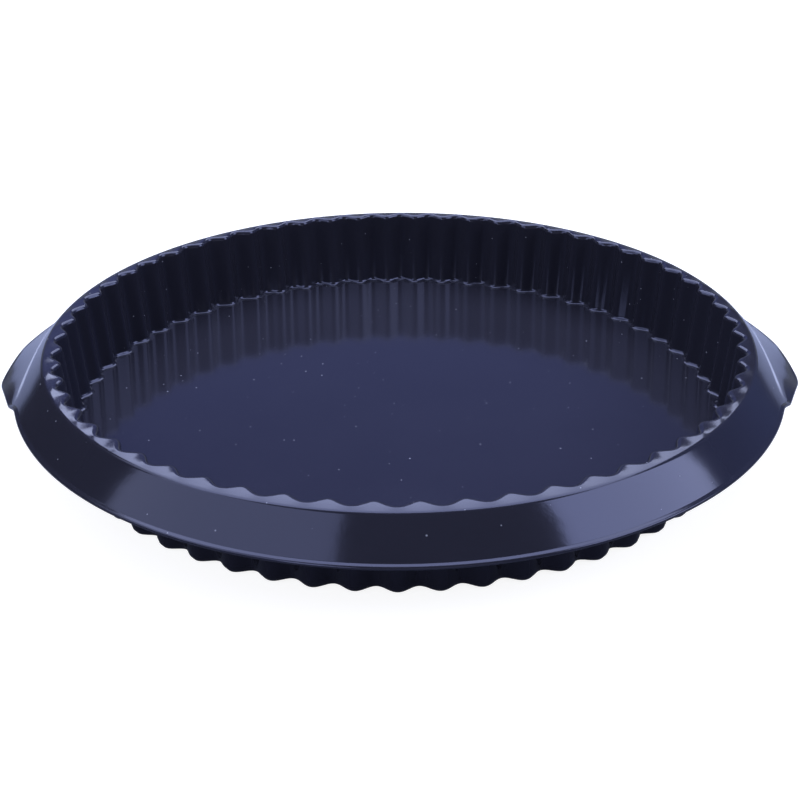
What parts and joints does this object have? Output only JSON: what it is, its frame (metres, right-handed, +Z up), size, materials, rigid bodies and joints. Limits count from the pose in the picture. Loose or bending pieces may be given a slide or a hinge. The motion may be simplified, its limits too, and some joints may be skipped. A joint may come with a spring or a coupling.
{
  "type": "fluted flan mould",
  "caption": "Low round one-piece silicone flan mould with a fluted wall, a flat floor, a smooth sloping skirt round its rim and a grip ear on each side.",
  "frame": {"origin": "centre of the flat underside, on the surface that the mould stands on", "axes": "+Z up out of the mould's mouth, +X towards one of the two grip ears, +Y away from the viewer"},
  "size_m": [0.3342, 0.3202, 0.0375],
  "materials": {
    "silicone": "gloss"
  },
  "bodies": {
    "root": {"mould": "silicone"}
  },
  "joints": []
}
